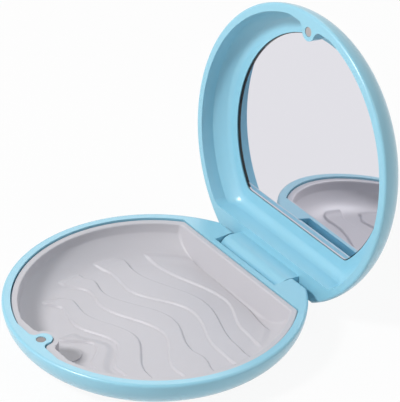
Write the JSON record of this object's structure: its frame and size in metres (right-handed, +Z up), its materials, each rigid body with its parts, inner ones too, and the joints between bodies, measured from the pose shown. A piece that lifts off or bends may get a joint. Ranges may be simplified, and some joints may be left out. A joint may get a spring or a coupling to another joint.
{
  "type": "denture case",
  "caption": "Round hinged clam-shell case with a flat rear, a soft tray with a waved floor, a mirror in the lid and a magnetic catch.",
  "frame": {"origin": "centre of the round outline, on the face that the case rests on", "axes": "+Z up, +Y towards the hinge, +X along the hinge pin to the right of someone who faces the front of the case"},
  "size_m": [0.09, 0.1088, 0.0893],
  "materials": {
    "base_plastic": "satin moulded plastic, pale blue",
    "lid_plastic": "satin moulded plastic, pale blue",
    "tray_silicone": "matt silicone, light grey",
    "mirror_glass": "silvered glass",
    "tape_foam": "white foam tape",
    "base_magnet_nickel": "bright nickel plate",
    "lid_magnet_nickel": "bright nickel plate",
    "pin_steel": "drawn steel"
  },
  "bodies": {
    "base": {"base_shell": "base_plastic", "liner_tray": "tray_silicone", "base_magnet": "base_magnet_nickel", "hinge_pin": "pin_steel"},
    "lid": {"lid_shell": "lid_plastic", "mirror": "mirror_glass", "mirror_tape": "tape_foam", "lid_magnet": "lid_magnet_nickel"}
  },
  "joints": [
    {"name": "lid_hinge", "type": "hinge", "parent": "base", "child": "lid", "pos_m": [0, 0.0375, 0.00835], "axis": [-1, 0, 0], "range_deg": [-98.7, 0]}
  ]
}
